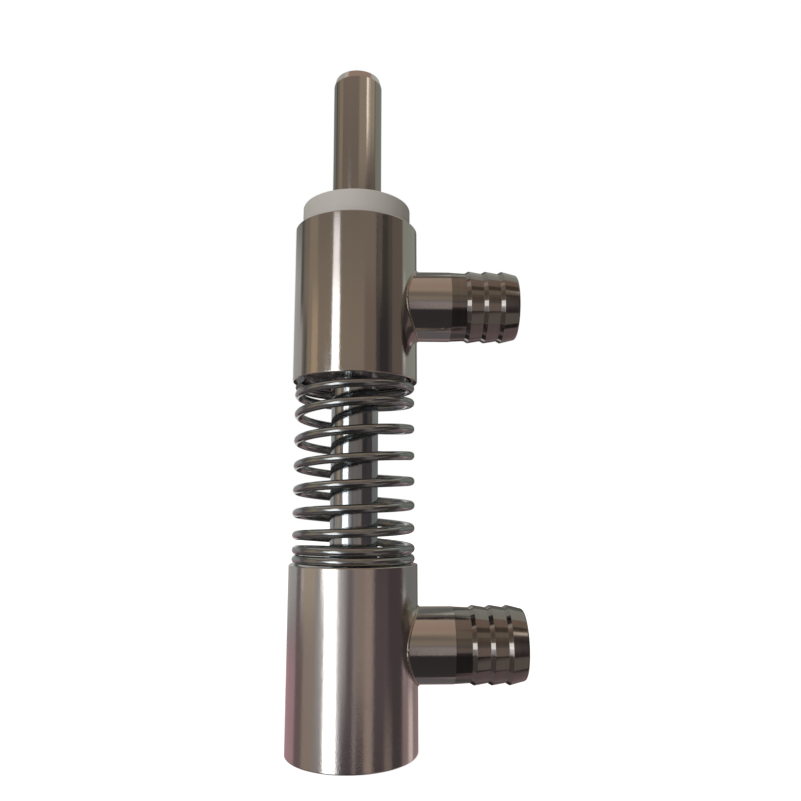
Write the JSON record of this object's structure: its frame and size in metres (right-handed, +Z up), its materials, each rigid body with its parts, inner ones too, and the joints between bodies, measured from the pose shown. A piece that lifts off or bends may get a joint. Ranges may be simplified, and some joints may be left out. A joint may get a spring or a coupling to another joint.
{
  "type": "filling nozzle",
  "caption": "Spring-closed overflow filling nozzle: a tubular bell slides on a hollow stem below a fixed upper body, each with a barbed hose tail, under a round clamping shank.",
  "frame": {"origin": "centre of the bell mouth at its lower rim", "axes": "+Z up along the stem towards the shank, +X the way both hose tails point"},
  "size_m": [0.058, 0.032, 0.174],
  "materials": {
    "polished_steel": "polished stainless steel",
    "spring_steel": "drawn stainless spring wire",
    "white_plastic": "turned white fluoroplastic",
    "black_rubber": "moulded seal rubber",
    "pale_silicone": "moulded silicone"
  },
  "bodies": {
    "stem_unit": {"shank": "polished_steel", "stem": "polished_steel", "stem_lock_nut": "polished_steel", "lock_nut_washer": "white_plastic", "upper_body": "polished_steel", "upper_hose_tail": "polished_steel", "cap_plug": "white_plastic", "cap_outer_o_ring": "black_rubber", "cap_inner_o_ring": "black_rubber", "valve_head": "polished_steel", "valve_head_o_ring": "black_rubber", "valve_head_washer": "white_plastic"},
    "spring_unit": {"spring": "spring_steel"},
    "bell_unit": {"lower_body": "polished_steel", "lower_hose_tail": "polished_steel", "guide_bush": "white_plastic", "guide_bush_o_ring": "black_rubber", "stem_o_rings": "black_rubber", "bush_retaining_ring": "spring_steel", "seat_ring": "polished_steel", "seat_ring_o_ring": "black_rubber", "mouth_gasket": "pale_silicone"}
  },
  "joints": [
    {"name": "bell_swivel", "type": "hinge", "parent": "stem_unit", "child": "spring_unit", "pos_m": [0, 0, 0.0895], "axis": [0, 0, 1], "continuous": true},
    {"name": "bell_lift", "type": "slide", "parent": "spring_unit", "child": "bell_unit", "axis": [0, 0, 1], "range_m": [0, 0.018], "stiffness_N_per_m": 1200, "springref_m": -0.014, "deforming": ["spring"]}
  ]
}
